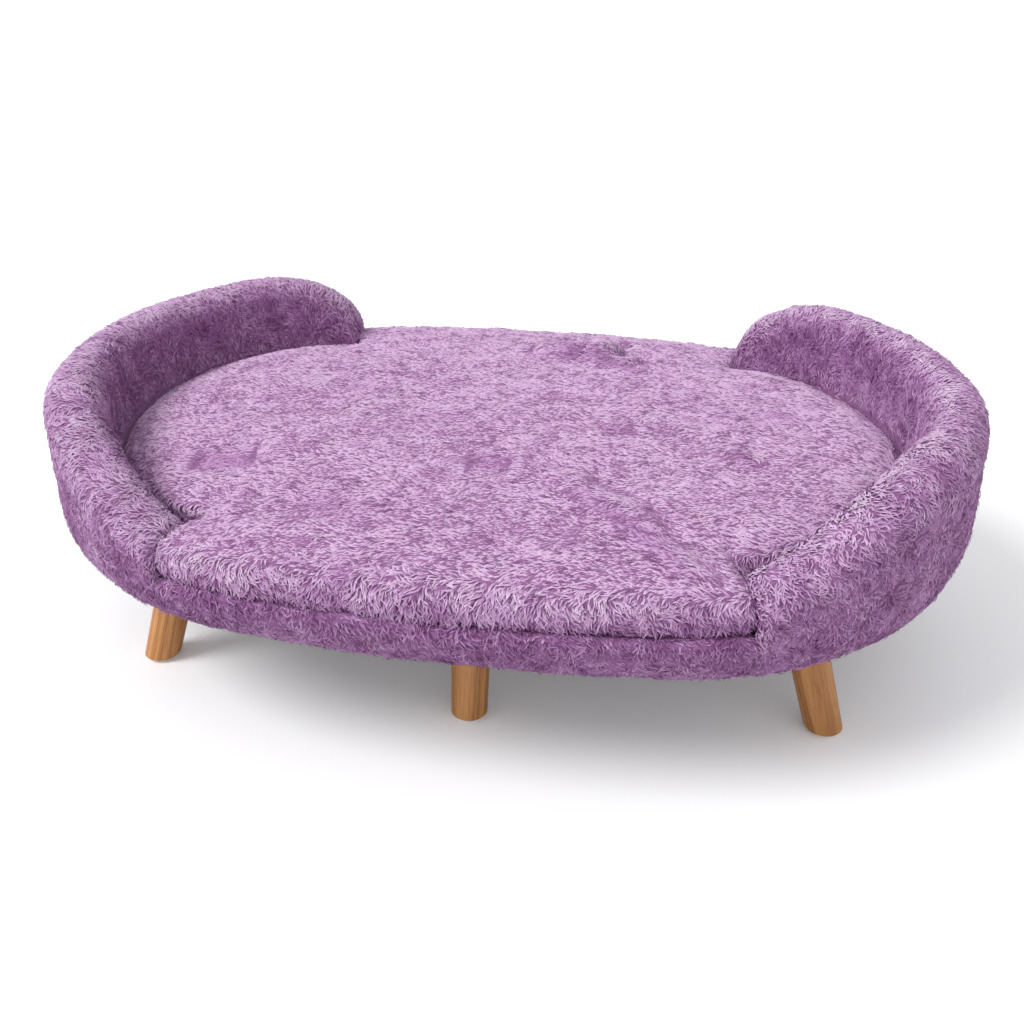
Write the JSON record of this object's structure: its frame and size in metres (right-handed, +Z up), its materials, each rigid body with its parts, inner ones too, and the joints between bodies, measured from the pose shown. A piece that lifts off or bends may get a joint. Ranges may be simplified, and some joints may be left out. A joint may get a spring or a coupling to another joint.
{
  "type": "dog sofa bed",
  "caption": "Raised oval dog sofa bed in long-pile plush, with wrap-round arms at both ends, a lift-out seat cushion and splayed turned wooden legs.",
  "frame": {"origin": "on the floor under the middle of the bed", "axes": "+X to the right along the length, +Y to the back, +Z up; the pictured front faces -Y"},
  "size_m": [1, 0.682, 0.315],
  "materials": {
    "plush": "long soft pile, lilac",
    "foam": "open-cell upholstery foam, cream",
    "base_cloth": "plain woven lining, dark grey",
    "felt": "needle felt, grey",
    "dust_cloth": "black non-woven",
    "timber": "planed softwood, unfinished",
    "plywood": "sanded plywood, unfinished",
    "hardboard": "bent hardboard",
    "leg_wood": "turned hardwood, honey-brown satin lacquer",
    "zinc": "bright zinc plated",
    "zip_tape": "woven zip tape with moulded teeth",
    "zip_metal": "plated zinc alloy",
    "nylon": "moulded white nylon"
  },
  "bodies": {
    "frame": {"base_front_rail": "timber", "base_rear_rail": "timber", "base_left_rail": "timber", "base_right_rail": "timber", "cross_rails": "timber", "seat_deck": "plywood", "deck_screws": "zinc", "deck_pad": "felt", "dust_cover": "dust_cloth", "left_arm_bottom_rail": "timber", "left_arm_top_rail": "timber", "left_arm_posts": "timber", "left_arm_end_blocks": "timber", "left_arm_inner_panel": "hardboard", "left_arm_outer_panel": "hardboard", "left_arm_foam": "foam", "left_arm_cover": "plush", "right_arm_bottom_rail": "timber", "right_arm_top_rail": "timber", "right_arm_posts": "timber", "right_arm_end_blocks": "timber", "right_arm_inner_panel": "hardboard", "right_arm_outer_panel": "hardboard", "right_arm_foam": "foam", "right_arm_cover": "plush", "arm_screws": "zinc", "arm_washers": "zinc", "front_band_foam": "foam", "front_band_cover": "plush", "rear_band_foam": "foam", "rear_band_cover": "plush", "leg_front_left": "leg_wood", "leg_front_centre": "leg_wood", "leg_front_right": "leg_wood", "leg_rear_left": "leg_wood", "leg_rear_centre": "leg_wood", "leg_rear_right": "leg_wood", "leg_glides": "nylon", "hanger_bolts": "zinc", "leg_plates": "zinc", "plate_screws": "zinc"},
    "cushion": {"cushion_foam": "foam", "cushion_cover": "plush", "cushion_base_cloth": "base_cloth", "cushion_zip": "zip_tape"},
    "zip_slider": {"zip_slider": "zip_metal"}
  },
  "joints": [
    {"name": "cushion_lift", "type": "slide", "parent": "frame", "child": "cushion", "axis": [0, 0, 1], "range_m": [0, 0.25]},
    {"name": "zip_run", "type": "slide", "parent": "cushion", "child": "zip_slider", "axis": [1, 0, 0], "range_m": [0, 0.54]}
  ]
}
